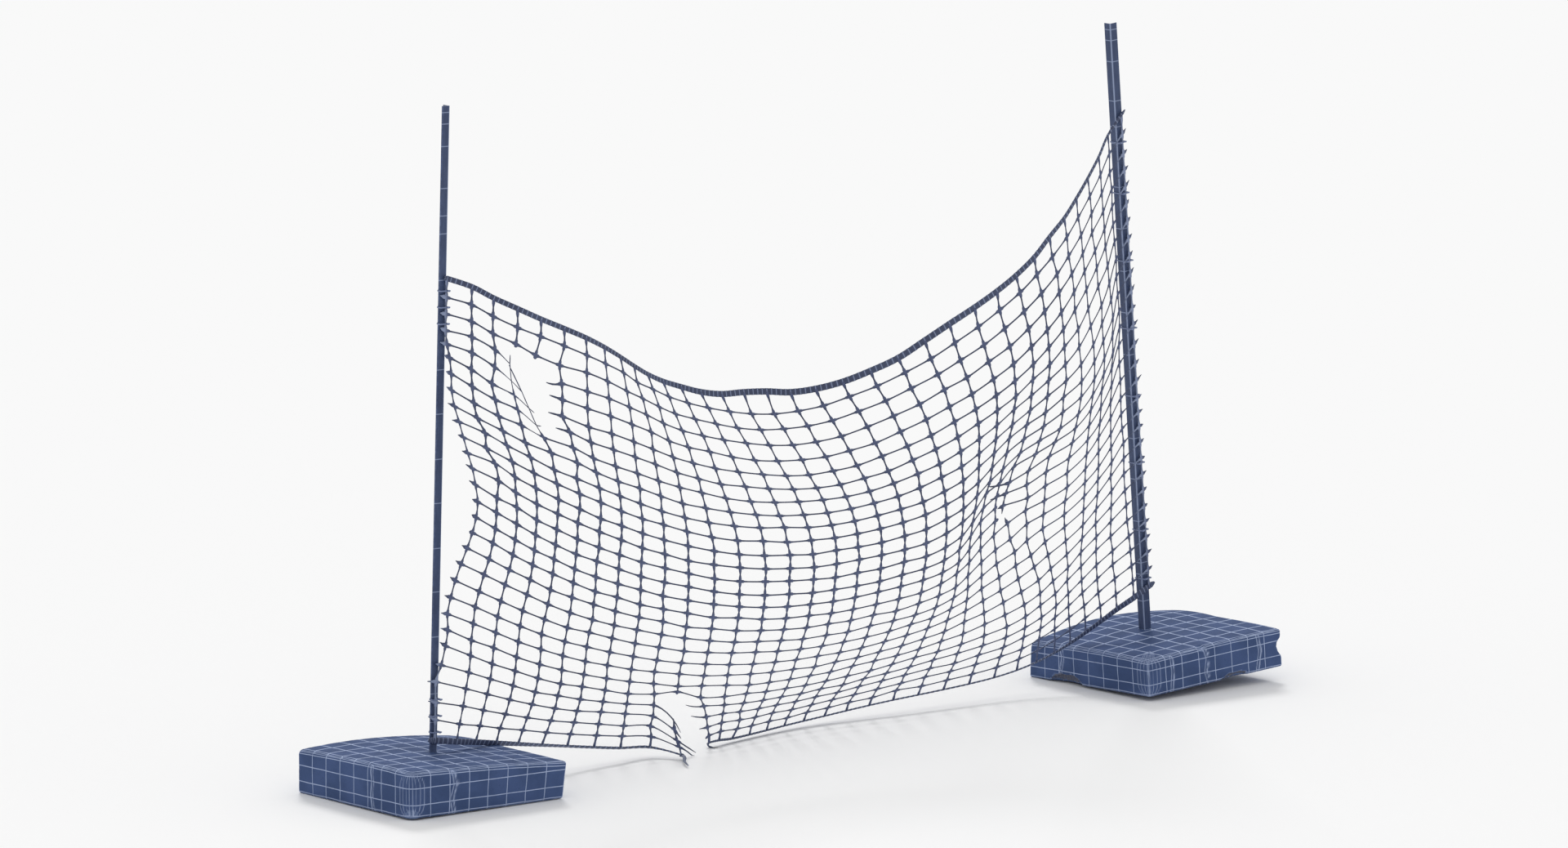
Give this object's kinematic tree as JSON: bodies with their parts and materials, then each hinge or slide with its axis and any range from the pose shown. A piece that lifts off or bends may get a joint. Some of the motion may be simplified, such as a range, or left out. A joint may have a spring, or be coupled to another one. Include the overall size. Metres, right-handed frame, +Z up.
{
  "type": "volleyball net on poles",
  "caption": "Worn mesh net with torn places, hung slack between slim angle-iron posts that stand in square cast blocks",
  "frame": {"origin": "middle of the left block's flat underside, on the floor", "axes": "+Z up, +X from the left stand to the right stand along the net, +Y away from the side that the net hangs on"},
  "size_m": [2.357, 0.4427, 1.4054],
  "materials": {
    "cast_block": "painted rough cast concrete, worn and chipped",
    "post_paint": "satin paint on rolled steel angle",
    "mesh_plastic": "weathered extruded plastic mesh",
    "tie_plastic": "moulded nylon cable ties"
  },
  "bodies": {
    "stand": {"left_base": "cast_block", "right_base": "cast_block", "net": "mesh_plastic", "top_band": "mesh_plastic", "bottom_band_left": "mesh_plastic", "bottom_band_right": "mesh_plastic", "left_tie_1": "tie_plastic", "left_tie_2": "tie_plastic", "left_tie_3": "tie_plastic", "left_tie_4": "tie_plastic", "left_tie_5": "tie_plastic", "left_tie_6": "tie_plastic", "right_tie_1": "tie_plastic", "right_tie_2": "tie_plastic", "right_tie_3": "tie_plastic", "right_tie_4": "tie_plastic", "right_tie_5": "tie_plastic", "right_tie_6": "tie_plastic", "right_tie_7": "tie_plastic", "right_tie_8": "tie_plastic"},
    "left_pole": {"left_post": "post_paint"},
    "right_pole": {"right_post": "post_paint"}
  },
  "joints": [
    {"name": "left_post_lift", "type": "slide", "parent": "stand", "child": "left_pole", "axis": [0.0314, 0, 0.9995], "range_m": [0, 0.09]},
    {"name": "right_post_lift", "type": "slide", "parent": "stand", "child": "right_pole", "axis": [-0.0819, 0, 0.9966], "range_m": [0, 0.09]}
  ]
}
